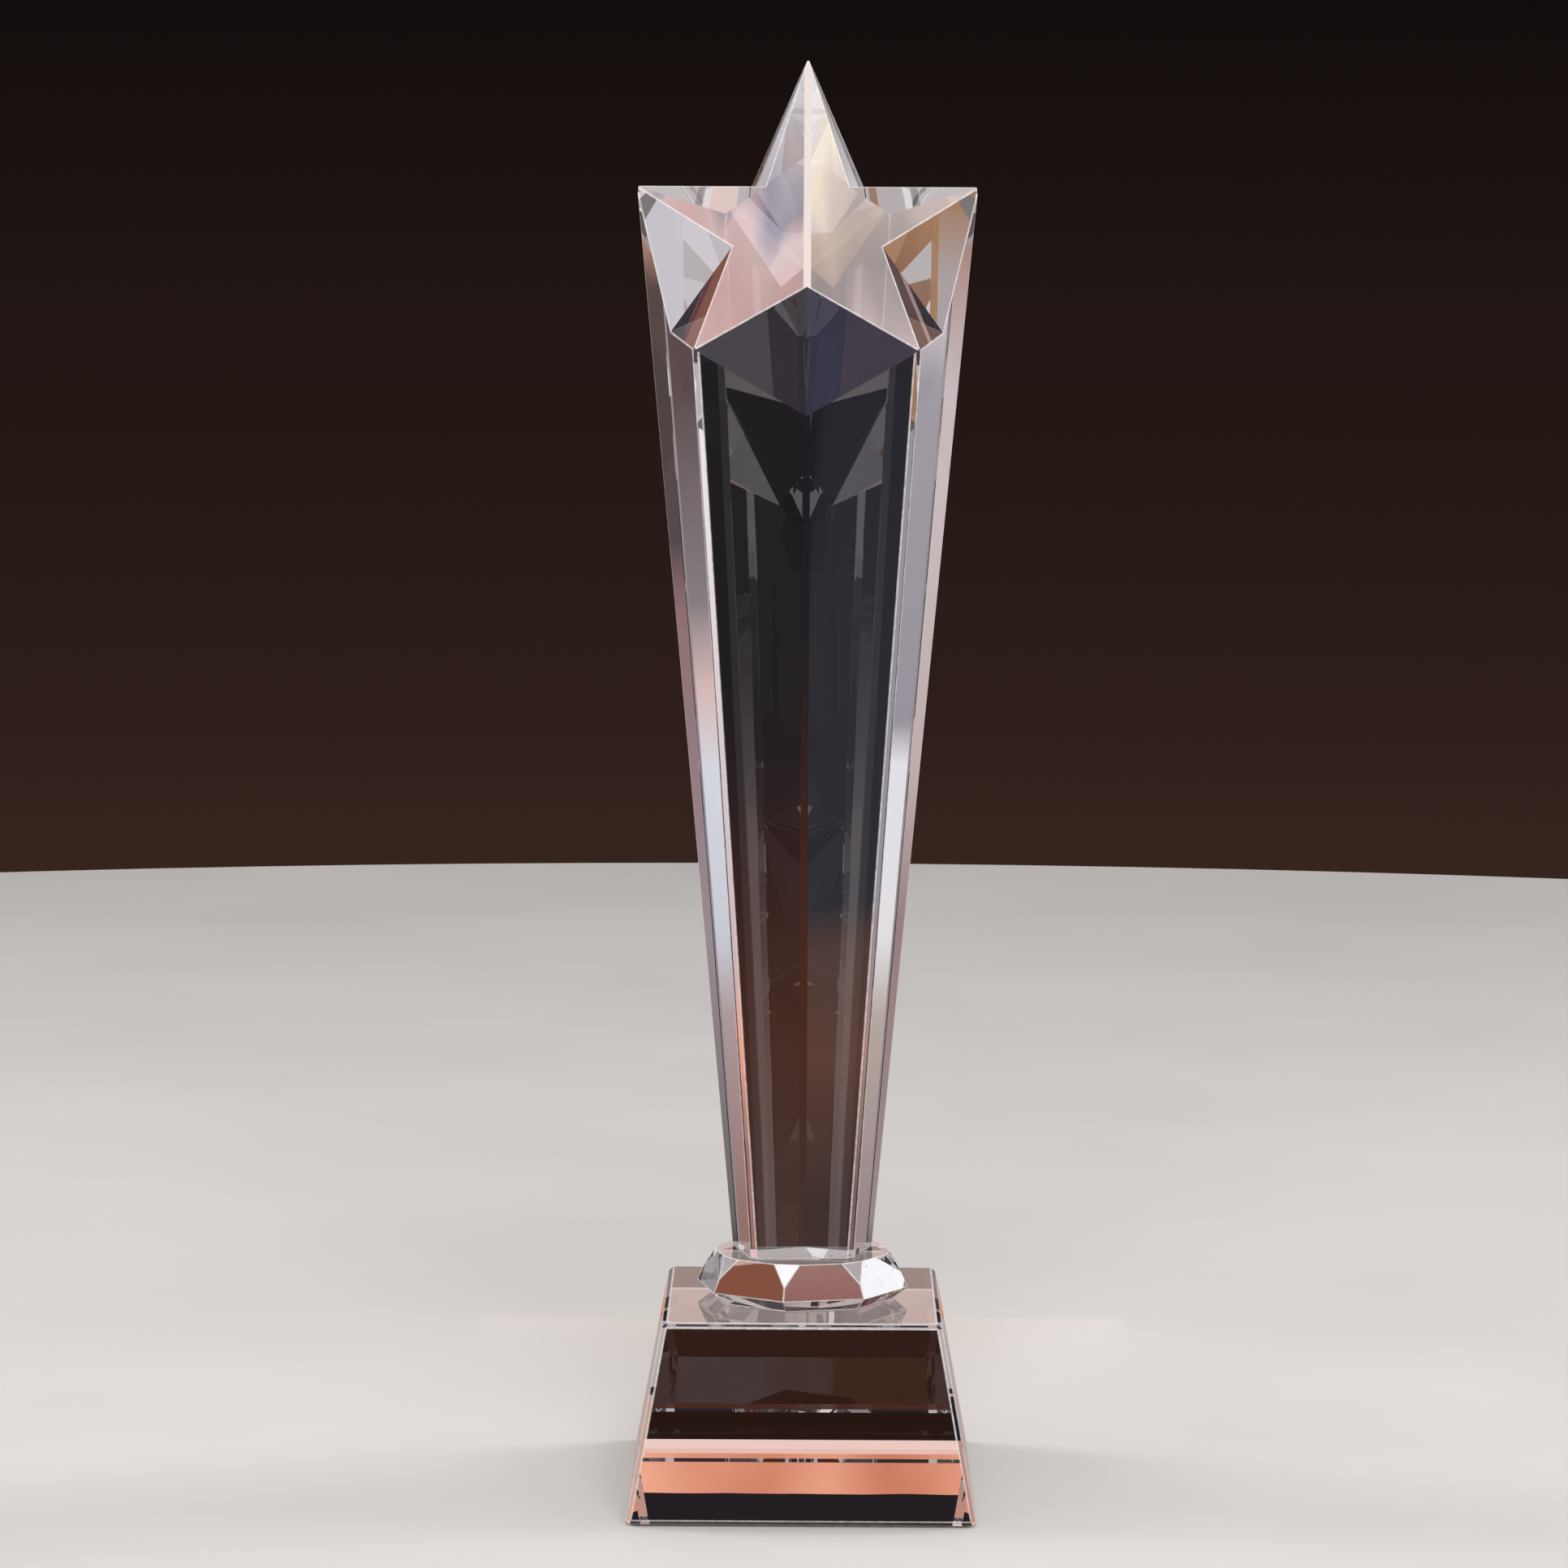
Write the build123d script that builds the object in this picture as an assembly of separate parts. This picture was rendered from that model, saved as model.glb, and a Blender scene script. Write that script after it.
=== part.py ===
from build123d import *
import os
from math import cos, radians, sin

# Crystal star trophy: a tapering five-sided crystal column whose slanted top is cut into a
# five-pointed star, bonded to a faceted crystal collar on a slant-fronted crystal base.
# Frame: millimetres, +Z up, Z = 0 on the table, the column's axis on the Z axis, front at -Y.

# Base block
base_height = 33.0
base_half_width = 30.0
base_front_y = -37.0
base_back_y = 33.0
top_half_width = 24.0
top_front_y = -27.0
top_back_y = 27.0
ridge_height = 14.0
ridge_y = -36.0
base_edge_bevel = 0.8

# Clear bonding films
bond_thickness = 0.1

# Faceted collar
collar_sides = 8
collar_height = 8.0
collar_table_radius = 16.1
collar_girdle_radius = 18.8
collar_foot_radius = 16.4
collar_girdle_height = 2.0
collar_turn = -10.0
corner_facet_run = 2.4
corner_facet_drop = 3.6

# Star column; the corner places are given at the foot and grow evenly with height
column_foot_z = base_height + collar_height + 2 * bond_thickness
column_blank_top_z = 262.0
back_corner_y = 13.9
side_corner_x = 12.45
side_corner_y = 3.95
front_corner_x = 8.75
front_corner_y = -10.15
growth_per_mm = 0.00755
column_edge_bevel = 0.85

# Slanted star face; the tip height is that of the sharp star point, before its edge is bevelled
star_tip_z = 250.0
star_slope = 0.87

# Notches between the star's arms, as plan places on the slanted face; the back pair lies on the
# straight line between the two side points of the star
back_notch_x = 7.3
side_notch_x = 12.9
side_notch_y = -2.3
front_notch_y = -10.0

# How far each groove's foot lies below the middle of the two star points beside it
back_groove_drop = 22.0
side_groove_drop = 11.2
front_groove_drop = 11.2
wedge_overrun = 1.5


def column_scale(z):
    """Size of the column's section at height z, against its foot."""
    return 1 + growth_per_mm * (z - column_foot_z)


def column_corners(z):
    """Five section corners at height z, going round from the back corner."""
    scale = column_scale(z)
    plan = [
        (0, back_corner_y),
        (-side_corner_x, side_corner_y),
        (-front_corner_x, front_corner_y),
        (front_corner_x, front_corner_y),
        (side_corner_x, side_corner_y),
    ]
    return [Vector(x * scale, y * scale, z) for x, y in plan]


def solid_from_faces(loops):
    """Closed solid from flat faces given as loops of corners."""
    return Solid(Shell([Face(Wire.make_polygon(loop, close=True)) for loop in loops]))


def frustum(lower, upper):
    """Solid between two loops of corners that have the same number of points."""
    count = len(lower)
    sides = []
    for i in range(count):
        j = (i + 1) % count
        sides.append([lower[i], lower[j], upper[j], upper[i]])
    return solid_from_faces([lower[::-1], upper] + sides)


def star_face_z(y):
    """Height of the slanted star plane at depth y."""
    tip_y = back_corner_y * column_scale(star_tip_z)
    return star_tip_z + star_slope * (y - tip_y)


def star_points():
    """The five star points, where the column's long edges meet the slanted plane."""
    points = []
    low = column_corners(column_foot_z)
    high = column_corners(column_blank_top_z)
    for a, b in zip(low, high):
        above_a = a.Z - star_face_z(a.Y)
        above_b = b.Z - star_face_z(b.Y)
        points.append(a + (b - a) * (above_a / (above_a - above_b)))
    return points


def notch_points(points):
    """Inner corners of the star, one between each pair of neighbouring star points."""
    shoulder_y = points[1].Y
    plan = [
        (-back_notch_x, shoulder_y),
        (-side_notch_x, side_notch_y),
        (0, front_notch_y),
        (side_notch_x, side_notch_y),
        (back_notch_x, shoulder_y),
    ]
    return [Vector(x, y, star_face_z(y)) for x, y in plan]


def groove_foot(left, right, drop):
    """Lowest point of a groove, on the middle of the column face below two star points."""
    z = (left.Z + right.Z) / 2 - drop
    scale = column_scale(z)
    middle = (left / column_scale(left.Z) + right / column_scale(right.Z)) / 2
    return Vector(middle.X * scale, middle.Y * scale, z)


def groove_wedge(left, right, notch, foot):
    """Cutting wedge for one groove; its two faces meet along the line from notch to foot."""
    above = notch + (notch - foot) * wedge_overrun
    below = foot + (foot - notch) * wedge_overrun
    to_left = (left - notch) * (1 + wedge_overrun)
    to_right = (right - notch) * (1 + wedge_overrun)
    lower = [below, below + to_right, below + to_left]
    upper = [above, above + to_right, above + to_left]
    return frustum(lower, upper)


def star_column():
    """Five-sided column with bevelled long edges, a slanted top and five star grooves."""
    body = frustum(column_corners(column_foot_z)[::-1], column_corners(column_blank_top_z)[::-1])
    long_edges = [edge for edge in body.edges() if edge.bounding_box().size.Z > collar_height]
    body = body.chamfer(column_edge_bevel, None, long_edges)

    plane_normal = Vector(0, -star_slope, 1)
    star_plane = Plane(origin=(0, 0, star_face_z(0)), x_dir=(1, 0, 0), z_dir=plane_normal)
    body = split(body, bisect_by=star_plane, keep=Keep.BOTTOM)

    points = star_points()
    notches = notch_points(points)
    drops = [back_groove_drop, side_groove_drop, front_groove_drop, side_groove_drop, back_groove_drop]
    for i in range(5):
        left = points[i]
        right = points[(i + 1) % 5]
        foot = groove_foot(left, right, drops[i])
        body = body - groove_wedge(left, right, notches[i], foot)
    return body


def collar_ring(radius, z):
    """Octagon of the collar at one height; the front corner is turned off the centre line."""
    corners = []
    for i in range(collar_sides):
        angle = radians(collar_turn - 90 + i * 360 / collar_sides)
        corners.append(Vector(radius * cos(angle), radius * sin(angle), z))
    return corners


def corner_facet_cutter(i, table, girdle):
    """Cutter for the small triangular facet under one corner of the collar's table."""
    corner = table[i]
    to_last = (table[i - 1] - corner).normalized()
    to_next = (table[(i + 1) % collar_sides] - corner).normalized()
    down_edge = girdle[i] - corner
    tip = corner + down_edge * (corner_facet_drop / abs(down_edge.Z))
    first = corner + to_last * corner_facet_run
    second = corner + to_next * corner_facet_run
    normal = (second - first).cross(tip - first).normalized()
    if normal.dot(corner - first) < 0:
        normal = normal * -1
    facet_plane = Plane(origin=first, z_dir=normal)
    size = 2 * collar_height
    return facet_plane * Box(size, size, size, align=(Align.CENTER, Align.CENTER, Align.MIN))


def faceted_collar():
    """Octagonal crystal disc: sloping main facets, a girdle near the foot, corner facets."""
    foot_z = base_height + bond_thickness
    table_z = foot_z + collar_height
    foot = collar_ring(collar_foot_radius, foot_z)
    girdle = collar_ring(collar_girdle_radius, foot_z + collar_girdle_height)
    table = collar_ring(collar_table_radius, table_z)
    loops = [foot[::-1], table]
    for low, high in ((foot, girdle), (girdle, table)):
        for i in range(collar_sides):
            j = (i + 1) % collar_sides
            loops.append([low[i], low[j], high[j], high[i]])
    body = solid_from_faces(loops)
    for i in range(collar_sides):
        body = body - corner_facet_cutter(i, table, girdle)
    return body


def slanted_base():
    """Base block: flared back and sides, a slanted front over a low front lip."""
    side_profile = [
        (base_front_y, 0),
        (base_back_y, 0),
        (top_back_y, base_height),
        (top_front_y, base_height),
        (ridge_y, ridge_height),
    ]
    flare = (base_half_width - top_half_width) / base_height
    left = []
    right = []
    for y, z in side_profile:
        half_width = base_half_width - flare * z
        left.append(Vector(-half_width, y, z))
        right.append(Vector(half_width, y, z))
    body = frustum(left, right)
    return body.chamfer(base_edge_bevel, None, body.edges())


def film_under(body):
    """Clear bonding film that fills the joint under a body, with the outline of its underside."""
    underside = body.faces().sort_by(Axis.Z)[0]
    return extrude(underside, bond_thickness, dir=(0, 0, -1))


os.makedirs("parts", exist_ok=True)
column = star_column()
collar = faceted_collar()
nodes = {
    "star_column": column,
    "column_bond": film_under(column),
    "faceted_collar": collar,
    "collar_bond": film_under(collar),
    "slanted_base": slanted_base(),
}
for name, shape in nodes.items():
    export_step(shape, f"parts/{name}.step")
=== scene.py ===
import math

import bmesh
import bpy
from mathutils import Matrix, Vector


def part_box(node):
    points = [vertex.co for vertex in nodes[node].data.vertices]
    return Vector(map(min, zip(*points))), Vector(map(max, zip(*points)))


# Clear crystal star trophy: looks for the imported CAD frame, a pale floor and a soft studio.
# Metres, +Z up, the trophy's front faces -Y. Azimuth 0 is straight behind it and +90 is to its right.

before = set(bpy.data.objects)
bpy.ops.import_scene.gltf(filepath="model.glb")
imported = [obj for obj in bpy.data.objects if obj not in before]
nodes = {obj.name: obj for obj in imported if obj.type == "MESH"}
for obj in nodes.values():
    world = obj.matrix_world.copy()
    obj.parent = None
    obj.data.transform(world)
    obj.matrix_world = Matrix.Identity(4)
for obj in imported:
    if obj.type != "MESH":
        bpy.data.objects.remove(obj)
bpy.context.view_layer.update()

# Levels of the bonded joints, from the frame
column_foot_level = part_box("star_column")[0].z
collar_low, collar_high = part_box("faceted_collar")
base_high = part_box("slanted_base")[1]

# How far a point may be from a joint's level and still be on it; also joins the mesh's split corners
JOINT_REACH = 0.00004

# Crystal: its refractive index, the roughness left by polishing and the faint waviness of the lap
CRYSTAL_IOR = 1.517
WIPE_SCALE = 38.0
WIPE_ROUGHNESS = 0.006
LAP_SCALE = 48.0
LAP_STRENGTH = 0.012
LAP_DEPTH = 0.0005

# Ground edges: the least turn and length that count, and how far the pale line reaches to each side
FLAT_TURN = math.radians(0.5)
EDGE_TURN = math.radians(20)
EDGE_LENGTH = 0.0015
EDGE_REACH = 0.00024
EDGE_CORE = 0.3 * EDGE_REACH
# Edges wholly between these heights, the lower edges of the front groove, stay dark
DARK_EDGES = (0.186, 0.2015)
# Share of light that an edge scatters, from its smoothest grit to its coarsest
EDGE_SCATTER = (0.4, 0.75)
EDGE_GRIT_SCALE = 900.0

# Bonding films: how closely their bubbles lie, and their size and share in the cells
BUBBLE_SCALE = 900.0
BUBBLE_SIZE = 0.16
BUBBLE_PATCH_SCALE = 260.0
BUBBLE_PATCH_LEVEL = 0.56
BUBBLE_STRENGTH = 0.6

# Camera, at the photograph's place and angle
CAMERA_PLACE = Vector((0.0001, -1.000, 0.225))
CAMERA_PITCH = -0.1013
CAMERA_YAW = -0.0037
CAMERA_ROLL = 0.0047
CAMERA_LENS = 132.2
CAMERA_SENSOR = 36.0

# Floor
FLOOR_LEVEL = -0.0003
FLOOR_REACH = 0.95
FLOOR_SIDES = 160
FLOOR_GRAIN_SCALE = 9.0
# The floor's darkest and lightest tone, and its green and blue against its red
FLOOR_TONES = (0.42, 0.45)
FLOOR_GREEN = 0.975
FLOOR_BLUE = 0.95
# Soft light from all around, which only the floor and the ground edges receive
FILL_LIGHT = (0.80, 0.785, 0.775, 1)

# Low glowing card: how far behind the base's back, how tall, and how wide against the base's top
GLOW_DISTANCE = 0.117
GLOW_HEIGHT = 0.0262
GLOW_SPREAD = 2.2
# Where the glow starts to turn paler, out from its middle, and where it has turned
GLOW_ENDS = (0.034, 0.046)
GLOW_DRIFT_SCALE = 22.0

# Ripple of the star face's cards: its scale, and how many degrees it moves them up and down
RIPPLE_SCALE = 42.0
RIPPLE_SHIFT = 0.30

# Tones of the studio surround, as linear light
WHITE = (1.08, 1.07, 1.12)
CREAM = (1.18, 1.02, 0.76)
ROSE = (0.98, 0.70, 0.68)
LAVENDER = (0.60, 0.57, 0.63)
GREY = (0.32, 0.28, 0.30)
AMBER = (0.38, 0.21, 0.12)
SALMON = (0.92, 0.38, 0.25)
TERRACOTTA = (0.50, 0.27, 0.22)
BROWN = (0.072, 0.023, 0.013)
DUSK = (0.028, 0.023, 0.028)
SLATE_BLUE = (0.30, 0.28, 0.38)
NIGHT = (0.014, 0.012, 0.015)


class Tree:
    """A material's or world's node tree, with short ways to add and join nodes."""

    def __init__(self, tree):
        self.tree = tree
        tree.nodes.clear()

    def node(self, kind, **settings):
        made = self.tree.nodes.new(kind)
        for name, value in settings.items():
            setattr(made, name, value)
        return made

    def feed(self, target, value):
        if isinstance(value, bpy.types.NodeSocket):
            self.tree.links.new(value, target)
        else:
            target.default_value = value

    def math(self, operation, first, second=0.0):
        made = self.node("ShaderNodeMath", operation=operation)
        self.feed(made.inputs[0], first)
        self.feed(made.inputs[1], second)
        return made.outputs[0]

    def vector(self, operation, first, second, output="Vector"):
        made = self.node("ShaderNodeVectorMath", operation=operation)
        self.feed(made.inputs[0], first)
        self.feed(made.inputs[1], second)
        return made.outputs[output]

    def colour_over(self, share, under, over):
        """Colour under, covered by colour over in the given share; the sockets are the colour ones."""
        made = self.node("ShaderNodeMix", data_type="RGBA")
        self.feed(made.inputs[0], share)
        self.feed(made.inputs[6], under)
        self.feed(made.inputs[7], over)
        return made.outputs[2]

    def noise(self, scale, detail, coordinates):
        made = self.node("ShaderNodeTexNoise")
        made.inputs["Scale"].default_value = scale
        made.inputs["Detail"].default_value = detail
        self.feed(made.inputs["Vector"], coordinates)
        return made.outputs["Fac"]

    def remap(self, value, low, high, to_low, to_high):
        made = self.node("ShaderNodeMapRange")
        self.feed(made.inputs["Value"], value)
        ends = {"From Min": low, "From Max": high, "To Min": to_low, "To Max": to_high}
        for name, number in ends.items():
            made.inputs[name].default_value = number
        return made.outputs["Result"]

    def mix(self, share, first, second):
        made = self.node("ShaderNodeMixShader")
        self.feed(made.inputs["Fac"], share)
        self.tree.links.new(first, made.inputs[1])
        self.tree.links.new(second, made.inputs[2])
        return made.outputs[0]


def object_position(t):
    """The point's place in metres; every CAD node sits at the origin."""
    return t.node("ShaderNodeTexCoord").outputs["Object"]


def separate(t, vector):
    """X, Y and Z of a vector."""
    split = t.node("ShaderNodeSeparateXYZ")
    t.feed(split.inputs[0], vector)
    return split.outputs[0], split.outputs[1], split.outputs[2]


def finish_surface(t, surface):
    """Joins a shader to the material's output."""
    output = t.node("ShaderNodeOutputMaterial")
    t.feed(output.inputs["Surface"], surface)


def new_material(name):
    material = bpy.data.materials.new(name)
    material.use_nodes = True
    return material, Tree(material.node_tree)


def clear_glass(t, roughness, bump):
    made = t.node("ShaderNodeBsdfGlass")
    made.inputs["Color"].default_value = (1, 1, 1, 1)
    made.inputs["IOR"].default_value = CRYSTAL_IOR
    t.feed(made.inputs["Roughness"], roughness)
    t.feed(made.inputs["Normal"], bump)
    return made.outputs[0]


def at_level(t, z, level):
    """1 on the flat face at one height, 0 elsewhere."""
    node = t.node("ShaderNodeMath", operation="COMPARE")
    t.feed(node.inputs[0], z)
    node.inputs[1].default_value = level
    node.inputs[2].default_value = JOINT_REACH
    return node.outputs[0]


def polish(t, position):
    """Roughness and bump of polished crystal: nearly clear, with faint lap waviness."""
    wipe = t.noise(WIPE_SCALE, 5.0, position)
    roughness = t.remap(wipe, 0.45, 0.80, 0.0, WIPE_ROUGHNESS)
    wave = t.noise(LAP_SCALE, 2.0, position)
    bump = t.node("ShaderNodeBump")
    bump.inputs["Strength"].default_value = LAP_STRENGTH
    bump.inputs["Distance"].default_value = LAP_DEPTH
    t.feed(bump.inputs["Height"], wave)
    return roughness, bump.outputs[0]


def outline_of(node_name):
    """Flat outline of a thin film as half-planes (nx, ny, reach), from its mesh's side faces."""
    planes = []
    for polygon in nodes[node_name].data.polygons:
        normal = polygon.normal
        if abs(normal.z) > 0.5:
            continue
        reach = normal.dot(polygon.center)
        plane = (round(normal.x, 4), round(normal.y, 4), reach)
        if all((plane[0], plane[1]) != (p[0], p[1]) for p in planes):
            planes.append(plane)
    return planes


def inside_outline(t, x, y, planes):
    """1 where the point lies inside every half-plane of the outline."""
    inside = None
    for nx, ny, reach in planes:
        along = t.math("ADD", t.math("MULTIPLY", x, nx), t.math("MULTIPLY", y, ny))
        test = t.math("LESS_THAN", along, reach)
        inside = test if inside is None else t.math("MULTIPLY", inside, test)
    return inside


def ground_edges(node_name):
    """Ends of the outward edges of a CAD node, from a copy of its mesh with coplanar faces joined."""
    copy = bmesh.new()
    copy.from_mesh(nodes[node_name].data)
    bmesh.ops.remove_doubles(copy, verts=copy.verts, dist=JOINT_REACH)
    bmesh.ops.dissolve_limit(copy, angle_limit=FLAT_TURN, verts=copy.verts, edges=copy.edges)
    ends = []
    for edge in copy.edges:
        start, end = [vert.co.copy() for vert in edge.verts]
        dark = DARK_EDGES[0] < min(start.z, end.z) and max(start.z, end.z) < DARK_EDGES[1]
        outward = len(edge.link_faces) == 2 and edge.is_convex and edge.calc_face_angle() > EDGE_TURN
        if outward and not dark and edge.calc_length() > EDGE_LENGTH:
            ends.append((start, end))
    copy.free()
    return ends


def nearest_edge(t, position, ends):
    """Distance from the point to the nearest of the edges."""
    nearest = None
    for start, end in ends:
        along = (end - start).normalized()
        offset = t.vector("SUBTRACT", position, start)
        travel = t.node("ShaderNodeClamp")
        t.feed(travel.inputs["Value"], t.vector("DOT_PRODUCT", offset, along, output="Value"))
        travel.inputs["Max"].default_value = (end - start).length
        foot = t.node("ShaderNodeVectorMath", operation="SCALE")
        foot.inputs[0].default_value = along
        t.feed(foot.inputs["Scale"], travel.outputs[0])
        distance = t.vector("DISTANCE", offset, foot.outputs[0], output="Value")
        nearest = distance if nearest is None else t.math("MINIMUM", nearest, distance)
    return nearest


def pale_edge(t, position, node_name):
    """How much of the light a ground edge scatters, seen from outside, and the scatter itself."""
    grit = t.remap(t.noise(EDGE_GRIT_SCALE, 3.0, position), 0.3, 0.7, *EDGE_SCATTER)
    distance = nearest_edge(t, position, ground_edges(node_name))
    line = t.remap(distance, EDGE_CORE, EDGE_REACH, 1.0, 0.0)
    outside = t.math("SUBTRACT", 1.0, t.node("ShaderNodeNewGeometry").outputs["Backfacing"])
    share = t.math("MULTIPLY", t.math("MULTIPLY", line, outside), grit)
    frost = t.node("ShaderNodeBsdfTranslucent")
    frost.inputs["Color"].default_value = (1.0, 0.97, 0.97, 1)
    chalk = t.node("ShaderNodeBsdfDiffuse")
    chalk.inputs["Color"].default_value = (1.0, 0.98, 0.98, 1)
    return share, t.mix(0.5, frost.outputs[0], chalk.outputs[0])


def crystal(name, node_name, joints):
    """Polished crystal; joints lists (level, outline) of the bonded areas, which light crosses straight."""
    material, t = new_material(name)
    position = object_position(t)
    x, y, z = separate(t, position)
    roughness, bump = polish(t, position)
    share, scatter = pale_edge(t, position, node_name)
    surface = t.mix(share, clear_glass(t, roughness, bump), scatter)
    clear = t.node("ShaderNodeBsdfTransparent").outputs[0]
    for level, outline in joints:
        bonded = at_level(t, z, level)
        if outline:
            bonded = t.math("MULTIPLY", bonded, inside_outline(t, x, y, outline))
        surface = t.mix(bonded, surface, clear)
    finish_surface(t, surface)
    return material


def bonding_film(name):
    """Clear cured film: straight-through on its faces, with a few tiny bubbles."""
    material, t = new_material(name)
    position = object_position(t)
    cells = t.node("ShaderNodeTexVoronoi")
    cells.inputs["Scale"].default_value = BUBBLE_SCALE
    t.feed(cells.inputs["Vector"], position)
    patchy = t.noise(BUBBLE_PATCH_SCALE, 2.0, position)
    spots = t.math("LESS_THAN", cells.outputs["Distance"], BUBBLE_SIZE)
    bubbles = t.math("MULTIPLY", spots, t.math("GREATER_THAN", patchy, BUBBLE_PATCH_LEVEL))
    clear = t.node("ShaderNodeBsdfTransparent").outputs[0]
    glint = t.node("ShaderNodeBsdfPrincipled")
    glint.inputs["Base Color"].default_value = (0.9, 0.9, 0.9, 1)
    glint.inputs["Roughness"].default_value = 0.35
    finish_surface(t, t.mix(t.math("MULTIPLY", bubbles, BUBBLE_STRENGTH), clear, glint.outputs[0]))
    return material


def dress(node_name, material):
    """Gives a CAD node its material."""
    node = nodes[node_name]
    node.data.materials.clear()
    node.data.materials.append(material)


def softbox(name, place, aim, width, height, power, colour):
    """Rectangular soft light on the floor and backdrop; the crystal sees the surround instead."""
    light = bpy.data.lights.new(name, "AREA")
    light.shape = "RECTANGLE"
    light.size = width
    light.size_y = height
    light.energy = power
    light.color = colour
    holder = bpy.data.objects.new(name, light)
    bpy.context.scene.collection.objects.link(holder)
    holder.location = place
    holder.rotation_euler = (Vector(aim) - Vector(place)).to_track_quat("-Z", "Y").to_euler()
    holder.visible_camera = False
    holder.visible_glossy = False
    holder.visible_transmission = False


def floor_material():
    """Plain pale matte floor with a very faint mottle."""
    material, t = new_material("floor_matte")
    grain = t.noise(FLOOR_GRAIN_SCALE, 6.0, object_position(t))
    body = t.node("ShaderNodeBsdfPrincipled")
    tone = t.remap(grain, 0.3, 0.7, *FLOOR_TONES)
    colour = t.node("ShaderNodeCombineColor")
    t.feed(colour.inputs[0], tone)
    t.feed(colour.inputs[1], t.math("MULTIPLY", tone, FLOOR_GREEN))
    t.feed(colour.inputs[2], t.math("MULTIPLY", tone, FLOOR_BLUE))
    t.feed(body.inputs["Base Color"], colour.outputs[0])
    body.inputs["Roughness"].default_value = 0.6
    finish_surface(t, body.outputs[0])
    return material


def pale_floor():
    """Plain pale round floor; the crystal sees the studio surround in its place."""
    corners = []
    for i in range(FLOOR_SIDES):
        angle = 2 * math.pi * i / FLOOR_SIDES
        corners.append((FLOOR_REACH * math.cos(angle), FLOOR_REACH * math.sin(angle), FLOOR_LEVEL))
    mesh = bpy.data.meshes.new("studio_floor")
    mesh.from_pydata(corners, [], [tuple(range(FLOOR_SIDES))])
    mesh.materials.append(floor_material())
    floor = bpy.data.objects.new("studio_floor", mesh)
    bpy.context.scene.collection.objects.link(floor)
    floor.visible_glossy = False
    floor.visible_transmission = False


def window(t, value, low, high, soft):
    """1 between low and high, falling to 0 over soft on each side."""
    rise = t.remap(value, low - soft, low, 0.0, 1.0)
    fall = t.remap(value, high, high + soft, 1.0, 0.0)
    return t.math("MULTIPLY", rise, fall)


def tones(t, elevation, stops):
    """Colour by elevation in degrees, from (elevation, colour) stops that rise."""
    low = stops[0][0]
    high = stops[-1][0]
    ramp = t.node("ShaderNodeValToRGB")
    t.feed(ramp.inputs[0], t.remap(elevation, low, high, 0.0, 1.0))
    elements = ramp.color_ramp.elements
    for level, colour in stops[1:-1]:
        elements.new((level - low) / (high - low))
    for element, (level, colour) in zip(elements, stops):
        element.color = (*colour, 1)
    return ramp.outputs[0]


class Surround:
    """What the crystal sees around it: soft cards laid over one another on a dark ground."""

    def __init__(self, t, azimuth, elevation, shimmer):
        self.t = t
        self.azimuth = azimuth
        self.side = t.math("ABSOLUTE", azimuth)
        self.elevation = elevation
        self.wavy = t.math("ADD", elevation, shimmer)
        self.colour = None

    def ground(self, stops):
        self.colour = tones(self.t, self.elevation, stops)

    def card(self, azimuth, elevation, stops, soft=0.5, both=False, wavy=False):
        """Soft-edged card over (from, to) degrees; both puts it left and right alike."""
        t = self.t
        across = window(t, self.side if both else self.azimuth, *azimuth, soft)
        up = window(t, self.elevation, *elevation, soft)
        level = self.wavy if wavy else self.elevation
        if len(stops) == 1:
            colour = (*stops[0], 1)
        else:
            colour = tones(t, level, stops)
        self.colour = t.colour_over(t.math("MULTIPLY", across, up), self.colour, colour)


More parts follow.
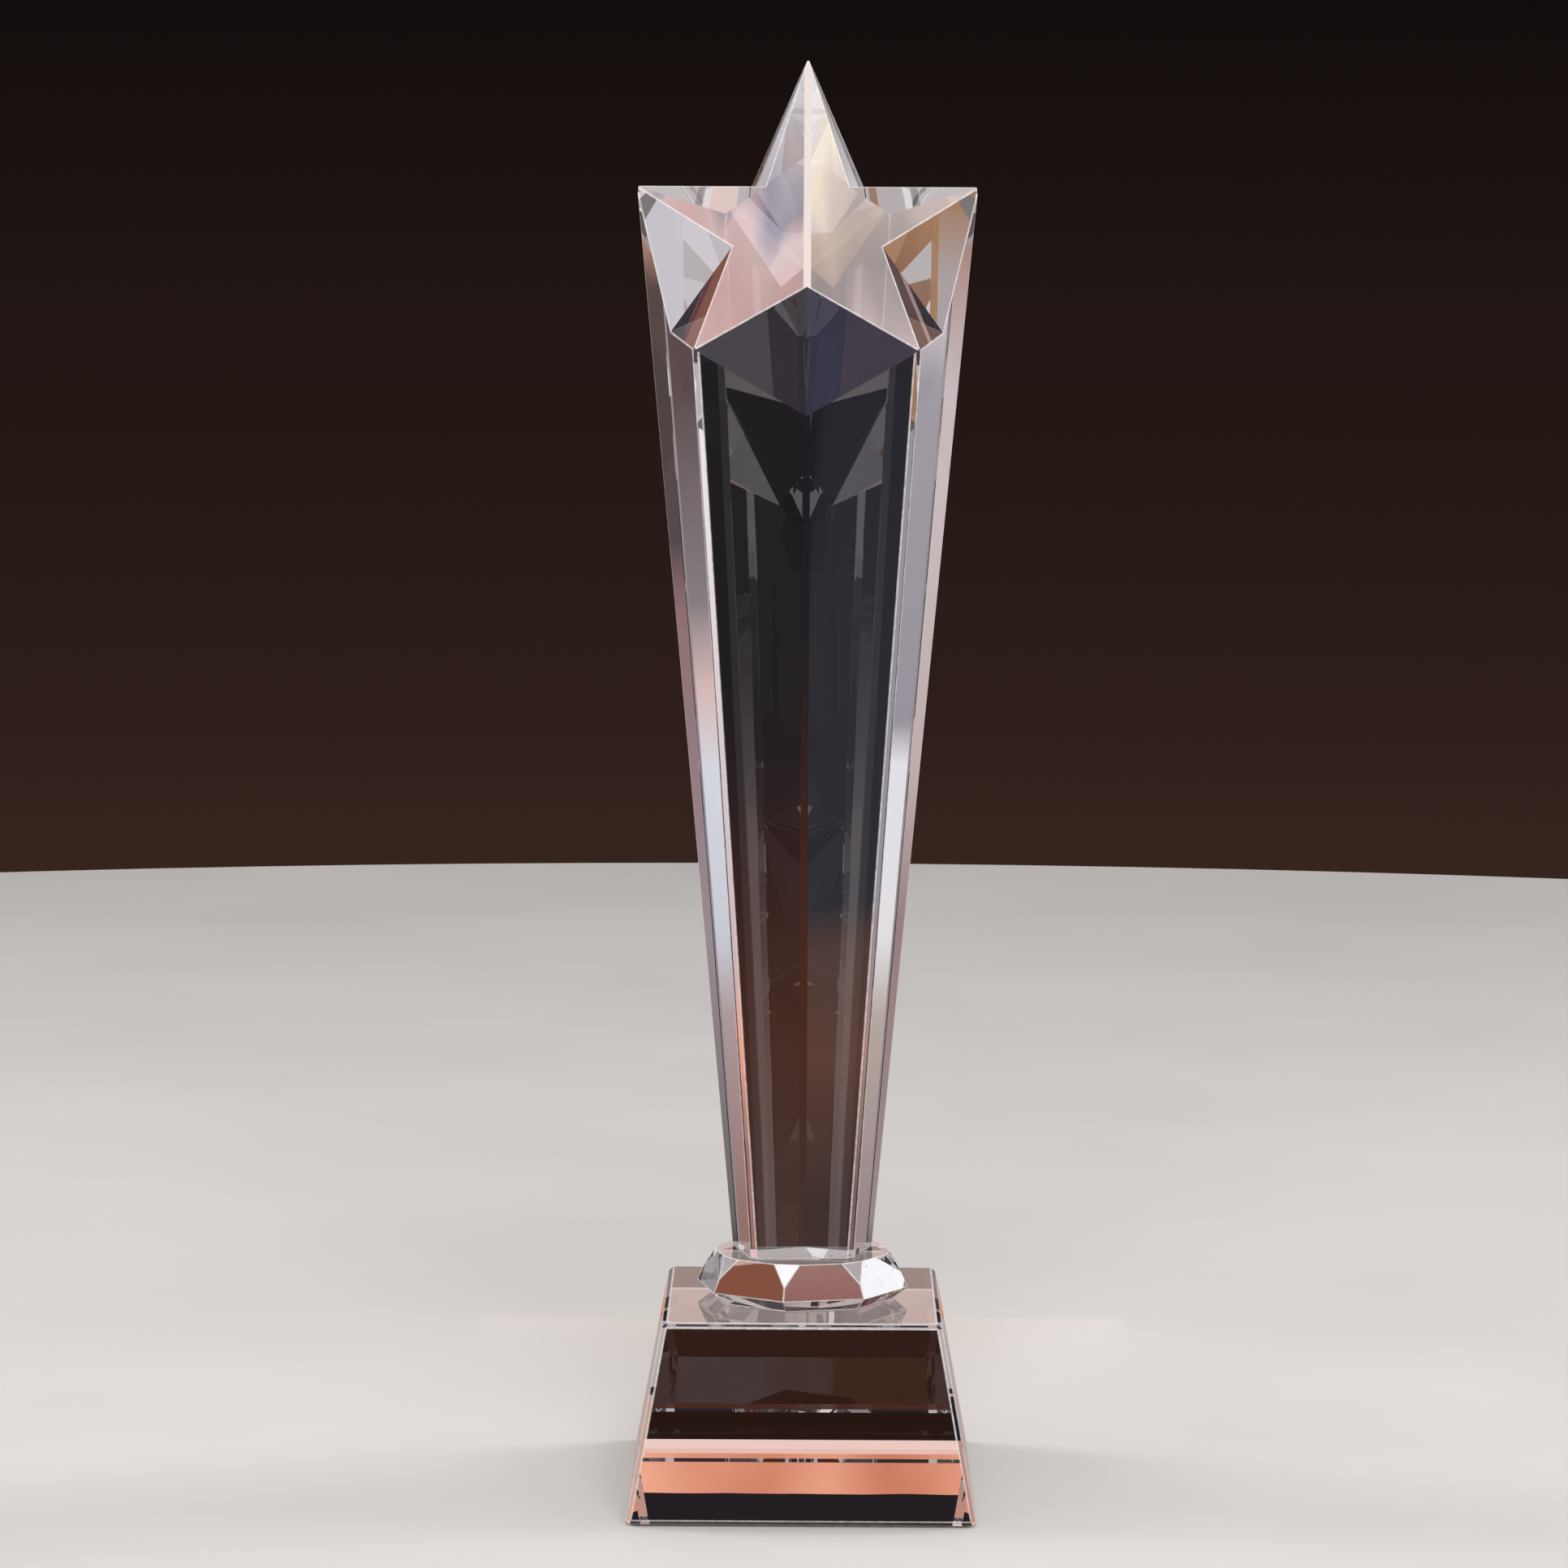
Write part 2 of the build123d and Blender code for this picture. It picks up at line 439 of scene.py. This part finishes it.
def crystal_surround(t, direction, azimuth, elevation):
    """Dark studio with soft banks at the sides and above, and the tinted cards behind."""
    ripple = t.noise(RIPPLE_SCALE, 1.0, direction)
    shimmer = t.remap(ripple, 0.3, 0.7, -RIPPLE_SHIFT, RIPPLE_SHIFT)
    s = Surround(t, azimuth, elevation, shimmer)
    s.ground([
        (-90, (0.50, 0.46, 0.46)), (-21, (0.48, 0.43, 0.43)), (-17, DUSK), (-9, DUSK), (-2, BROWN),
        (1, NIGHT), (40, NIGHT), (90, (0.05, 0.045, 0.05)),
    ])
    # Broad banks, for every angle of view
    s.card((46, 76), (-8, 46), [(0.42, 0.39, 0.42)], soft=5, both=True)
    s.card((122, 149), (-10, 46), [(0.09, 0.085, 0.09)], soft=5, both=True)
    s.card((0, 16), (32, 46), [(0.45, 0.40, 0.40)], soft=4, both=True)
    s.card((29, 43), (21, 31), [(0.50, 0.47, 0.50)], soft=2, both=True)

    # Dark below and in front, which the inside of the front faces would mirror
    s.card((51, 66), (-52, -44), [NIGHT], soft=2, both=True)
    s.card((160, 180), (-78, -46), [NIGHT], soft=2, both=True)

    # Low behind, left and right: what the two halves of the star face show
    s.card((34.6, 47), (-28.2, -22.4), [
        (-26.4, ROSE), (-25.6, (0.86, 0.54, 0.53)), (-25.1, (0.90, 0.66, 0.64)), (-24.8, SLATE_BLUE),
        (-24.5, (0.40, 0.37, 0.44)), (-24.0, (0.78, 0.70, 0.71)), (-23.2, WHITE),
    ], wavy=True)
    s.card((-47, -34.6), (-28.2, -22.4), [
        (-26.2, (0.90, 0.70, 0.72)), (-25.5, (0.52, 0.45, 0.44)), (-24.9, (0.80, 0.66, 0.60)),
        (-24.5, CREAM), (-24.1, WHITE), (-23.4, (0.80, 0.71, 0.68)),
    ], wavy=True)
    s.card((0, 3), (-29, -24), [(0.95, 0.83, 0.77)], both=True)
    s.card((20, 36), (-60, -48), [(0.80, 0.61, 0.58)], soft=1.5)

    # What the grooves beside the star show: lavender on one side, amber on the other
    s.card((88, 121), (-8, 0.8), [LAVENDER])
    s.card((-91, -77), (-23, -14), [(0.66, 0.61, 0.66)])
    s.card((150, 171), (-21, -11), [(0.54, 0.51, 0.53)])
    s.card((-121, -100), (-13, -7.5), [(0.60, 0.55, 0.60)])
    s.card((-121, -88), (-7.0, 0.8), [(-3.7, (0.42, 0.37, 0.38)), (-3.0, AMBER)])
    s.card((77, 91), (-23, -14), [(-19, (0.24, 0.10, 0.06)), (-18, AMBER)])
    s.card((-171, -150), (-21, -11), [AMBER])
    s.card((100, 121), (-13, -8.5), [(0.26, 0.13, 0.08)])
    s.card((-25, -12.6), (-36, -23.5), [(0.11, 0.06, 0.055)])
    s.card((6, 42), (-87, -68), [AMBER], soft=1.5)
    s.card((-42, -6), (-87, -68), [(0.62, 0.58, 0.63)], soft=1.5)
    s.card((41.5, 50), (-33, -28.8), [(0.11, 0.03, 0.035)])
    s.card((-50, -41.5), (-33, -28.8), [(0.42, 0.27, 0.28)])

    # Slate and brown behind, seen through the front faces
    s.card((0, 19), (-15.5, -9.5), [(0.028, 0.023, 0.030)])
    s.card((-19, 0), (-15.5, -9.5), [(0.034, 0.033, 0.060)])
    s.card((-32.6, -24), (-4.6, 7), [
        (-3.6, (0.045, 0.02, 0.015)), (-2.2, (0.12, 0.05, 0.036)), (-1.1, (0.09, 0.05, 0.044)),
        (-0.7, (0.030, 0.030, 0.038)), (6, (0.020, 0.019, 0.027)),
    ], soft=0.3)

    # Ground close behind, seen through the base and the collar; just behind the base it carries painted
    # shadow
    # Painted shadow: the floor just behind the base, which the slanted face shows, as near-black brown in
    # place of the pale floor
    s.card((0, 3.6), (-40, -29), [(0.032, 0.011, 0.007)], soft=0.6, both=True)
    s.card((0, 2), (-21.2, -20.2), [(0.86, 0.54, 0.47)], soft=2.0, both=True)
    s.card((0, 5), (17.4, 26), [(0.020, 0.008, 0.005)], soft=0.8, both=True)
    s.card((0, 9), (-12.6, -9.8), [(0.50, 0.40, 0.38)], both=True)
    s.card((13, 27), (-36, -27.5), [(0.25, 0.088, 0.055)])
    s.card((-12, -4.4), (-33, -27), [(-30.4, (0.30, 0.12, 0.11)), (-29.0, (0.44, 0.28, 0.25))], soft=0.3)
    s.card((-48, -33), (-43, -34), [WHITE], soft=1)
    s.card((4.6, 9), (-40, -35.8), [WHITE], soft=0.3)
    s.card((120, 150), (-66, -40), [(0.80, 0.75, 0.78)], soft=3, both=True)

    # Bright horizon strips at the sides, seen through the side faces and the bevels
    s.card((33.3, 39), (-5, 8), [
        (-3.2, (0.42, 0.23, 0.20)), (-1.2, (0.60, 0.45, 0.47)), (-0.4, (0.84, 0.86, 0.95)),
        (1.2, (0.95, 0.98, 1.08)), (2.0, ROSE), (2.9, GREY), (5.0, (0.13, 0.09, 0.09)),
    ], soft=0.3)
    s.card((-39, -33.3), (-5, 8), [
        (-3.2, (0.45, 0.33, 0.35)), (-1.2, (0.66, 0.56, 0.50)), (-0.4, WHITE), (1.3, WHITE),
        (1.7, (0.42, 0.40, 0.46)), (5.1, (0.46, 0.44, 0.50)), (5.6, (0.76, 0.70, 0.76)),
    ], soft=0.3)
    s.card((78, 95), (1.2, 13), [
        (1.2, (0.20, 0.18, 0.17)), (4.0, (0.44, 0.36, 0.40)), (7.3, (0.38, 0.21, 0.22)),
        (8.0, (0.10, 0.08, 0.08)), (10.6, (0.09, 0.07, 0.07)), (11.0, TERRACOTTA),
    ])
    s.card((-95, -78), (1.2, 13), [
        (1.2, (0.45, 0.36, 0.36)), (4.2, (0.42, 0.28, 0.28)), (5.6, (0.72, 0.58, 0.56)),
        (9.5, (0.84, 0.74, 0.77)), (11.2, TERRACOTTA),
    ])
    s.card((150, 170), (12, 27), [
        (14.4, (0.38, 0.16, 0.13)), (15.4, SALMON), (16.4, (0.66, 0.50, 0.51)), (26, WHITE),
    ])
    s.card((-170, -150), (12, 27), [
        (14.0, (0.18, 0.11, 0.10)), (15.5, (0.42, 0.24, 0.22)), (17.0, (0.31, 0.28, 0.32)),
    ])

    # Warm light low behind, seen through and off the base
    s.card((0, 12), (10.1, 15.6), [(0.90, 0.64, 0.58)], soft=0.15, both=True)
    s.card((21, 30), (12, 24), [(0.60, 0.38, 0.30)])
    s.card((-30, -21), (12, 18.5), [TERRACOTTA])
    return s.colour


def studio_world():
    """The surround for the crystal, a plain backdrop for the camera and soft fill for the floor."""
    world = bpy.data.worlds.new("studio")
    bpy.context.scene.world = world
    world.use_nodes = True
    world.cycles.sampling_method = "NONE"
    t = Tree(world.node_tree)
    direction = t.node("ShaderNodeTexCoord").outputs["Generated"]
    x, y, z = separate(t, direction)
    azimuth = t.math("DEGREES", t.math("ARCTAN2", x, y))
    elevation = t.math("DEGREES", t.math("ARCSINE", z))
    surround = crystal_surround(t, direction, azimuth, elevation)
    backdrop = tones(t, elevation, [
        (-90, (0.20, 0.18, 0.17)), (-20, (0.12, 0.08, 0.065)), (-8.5, (0.050, 0.025, 0.018)),
        (-5, (0.026, 0.013, 0.010)), (2, (0.006, 0.004, 0.004)), (90, (0.006, 0.005, 0.006)),
    ])
    path = t.node("ShaderNodeLightPath")
    shown = t.colour_over(path.outputs["Is Camera Ray"], surround, backdrop)
    shown = t.colour_over(path.outputs["Is Diffuse Ray"], shown, FILL_LIGHT)
    background = t.node("ShaderNodeBackground")
    t.feed(background.inputs["Color"], shown)
    output = t.node("ShaderNodeOutputWorld")
    t.feed(output.inputs["Surface"], background.outputs[0])


def glow_material():
    """Warm soft glow with slow drifts of tone, paler to both ends."""
    material, t = new_material("warm_glow")
    position = object_position(t)
    x = separate(t, position)[0]
    drift = t.remap(t.noise(GLOW_DRIFT_SCALE, 2.0, position), 0.35, 0.65, 0.0, 1.0)
    warm = t.colour_over(drift, (0.62, 0.20, 0.12, 1), (1.0, 0.46, 0.31, 1))
    ends = t.remap(t.math("ABSOLUTE", x), *GLOW_ENDS, 0.0, 1.0)
    glow = t.node("ShaderNodeEmission")
    t.feed(glow.inputs["Color"], t.colour_over(ends, warm, (0.85, 0.58, 0.52, 1)))
    finish_surface(t, glow.outputs[0])
    material.cycles.emission_sampling = "NONE"
    return material


def glow_card():
    """Low warm card behind the base, seen only through the crystal."""
    back_y = base_high.y + GLOW_DISTANCE
    half_width = GLOW_SPREAD * base_high.x
    corners = [
        (-half_width, back_y, 0),
        (half_width, back_y, 0),
        (half_width, back_y, GLOW_HEIGHT),
        (-half_width, back_y, GLOW_HEIGHT),
    ]
    mesh = bpy.data.meshes.new("glow_card")
    mesh.from_pydata(corners, [], [(0, 1, 2, 3)])
    mesh.materials.append(glow_material())
    card = bpy.data.objects.new("glow_card", mesh)
    bpy.context.scene.collection.objects.link(card)
    card.visible_camera = False
    card.visible_diffuse = False
    card.visible_shadow = False


def clear_paths():
    """Lets light cross the crystal as often as its facets and joints need, with plain tones."""
    scene = bpy.context.scene
    scene.view_settings.view_transform = "Standard"
    scene.cycles.max_bounces = 16
    scene.cycles.glossy_bounces = 16
    scene.cycles.transmission_bounces = 16
    scene.cycles.transparent_max_bounces = 24


def studio_camera():
    """Camera at the photograph's place and angle."""
    data = bpy.data.cameras.new("photo_camera")
    data.sensor_fit = "HORIZONTAL"
    data.sensor_width = CAMERA_SENSOR
    data.lens = CAMERA_LENS
    data.clip_start = 0.01
    camera = bpy.data.objects.new("photo_camera", data)
    bpy.context.scene.collection.objects.link(camera)
    forward = Vector((
        math.sin(CAMERA_YAW) * math.cos(CAMERA_PITCH),
        math.cos(CAMERA_YAW) * math.cos(CAMERA_PITCH),
        math.sin(CAMERA_PITCH),
    ))
    turn = forward.to_track_quat("-Z", "Y").to_matrix().to_4x4()
    camera.matrix_world = Matrix.Translation(CAMERA_PLACE) @ turn @ Matrix.Rotation(CAMERA_ROLL, 4, "Z")
    bpy.context.scene.camera = camera


column_outline = outline_of("column_bond")
collar_outline = outline_of("collar_bond")
dress("star_column", crystal("column_crystal_polish", "star_column", [(column_foot_level, None)]))
collar_joints = [(collar_high.z, column_outline), (collar_low.z, None)]
dress("faceted_collar", crystal("collar_crystal_polish", "faceted_collar", collar_joints))
dress("slanted_base", crystal("base_crystal_polish", "slanted_base", [(base_high.z, collar_outline)]))
dress("column_bond", bonding_film("column_bond_film"))
dress("collar_bond", bonding_film("collar_bond_film"))

pale_floor()
glow_card()
studio_world()
softbox("key_softbox", (0.10, -0.95, 0.95), (0, 0, 0.05), 0.7, 0.5, 17.0, (1.0, 0.98, 0.96))
softbox("left_rim", (-0.90, 0.25, 0.55), (0, 0, 0.12), 0.3, 0.9, 7.0, (1.0, 0.97, 0.96))
softbox("right_rim", (0.90, 0.25, 0.55), (0, 0, 0.12), 0.3, 0.9, 7.0, (0.97, 0.98, 1.0))
clear_paths()
studio_camera()
